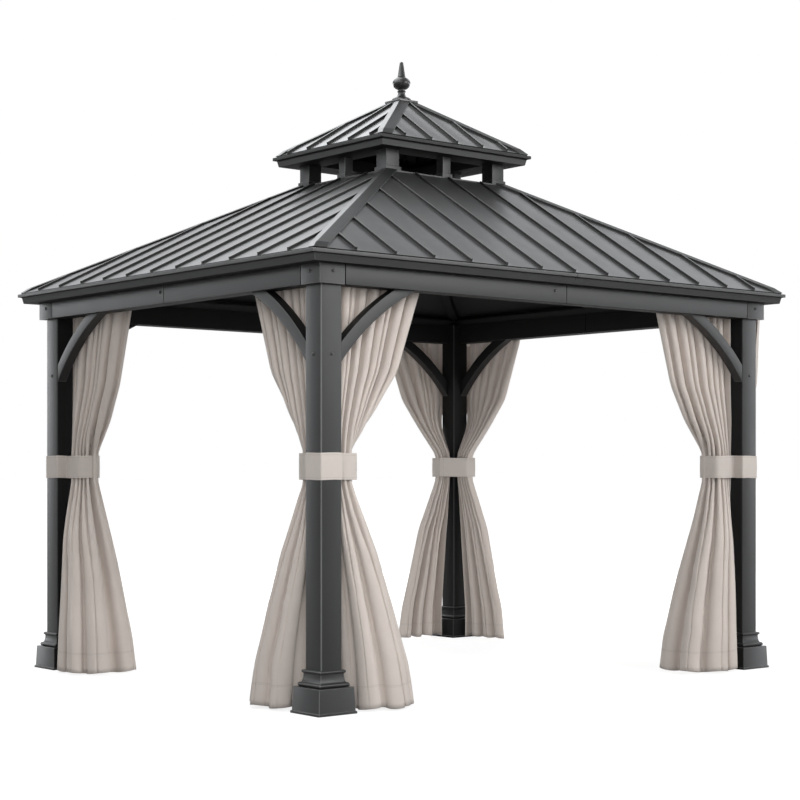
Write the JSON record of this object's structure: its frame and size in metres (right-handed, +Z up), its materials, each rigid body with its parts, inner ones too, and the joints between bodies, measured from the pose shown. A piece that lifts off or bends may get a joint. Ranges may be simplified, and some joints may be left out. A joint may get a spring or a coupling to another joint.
{
  "type": "metal gazebo",
  "caption": "Open metal garden gazebo with a hipped standing-seam roof, a vented cupola and upper roof, a turned finial, curved knee braces and tied-back curtains.",
  "frame": {"origin": "centre of the footprint, on the ground under the post bases", "axes": "+X along the long sides, +Y to the back, +Z up"},
  "size_m": [3.602, 3.0024, 3.696],
  "materials": {
    "frame_metal": "satin charcoal powder coat",
    "roof_metal": "satin charcoal coated sheet",
    "eave_metal": "satin charcoal coated sheet",
    "finial_metal": "semi-gloss charcoal paint",
    "curtain_fabric": "plain woven polyester, beige",
    "tie_fabric": "doubled plain woven polyester, beige"
  },
  "bodies": {
    "root": {"front_left_post": "frame_metal", "front_right_post": "frame_metal", "back_left_post": "frame_metal", "back_right_post": "frame_metal", "front_left_base": "frame_metal", "front_right_base": "frame_metal", "back_left_base": "frame_metal", "back_right_base": "frame_metal", "front_beam": "frame_metal", "back_beam": "frame_metal", "left_beam": "frame_metal", "right_beam": "frame_metal", "corner_covers": "frame_metal", "front_left_braces": "frame_metal", "front_right_braces": "frame_metal", "back_left_braces": "frame_metal", "back_right_braces": "frame_metal", "wall_plates": "frame_metal", "hip_rafters": "frame_metal", "middle_rafters": "frame_metal", "roof_curb": "frame_metal", "cupola_corner_posts": "frame_metal", "cupola_middle_posts": "frame_metal", "cupola_frame": "frame_metal", "upper_hip_rafters": "frame_metal", "curtain_rails": "frame_metal", "front_roof": "roof_metal", "back_roof": "roof_metal", "left_roof": "roof_metal", "right_roof": "roof_metal", "hip_caps": "roof_metal", "upper_front_roof": "roof_metal", "upper_back_roof": "roof_metal", "upper_left_roof": "roof_metal", "upper_right_roof": "roof_metal", "upper_hip_caps": "roof_metal", "front_eave": "eave_metal", "back_eave": "eave_metal", "left_eave": "eave_metal", "right_eave": "eave_metal", "upper_eaves": "eave_metal", "roof_cap": "finial_metal", "finial": "finial_metal", "front_left_curtains": "curtain_fabric", "front_right_curtains": "curtain_fabric", "back_left_curtains": "curtain_fabric", "back_right_curtains": "curtain_fabric", "front_left_tie": "tie_fabric", "front_right_tie": "tie_fabric", "back_left_tie": "tie_fabric", "back_right_tie": "tie_fabric"}
  },
  "joints": []
}
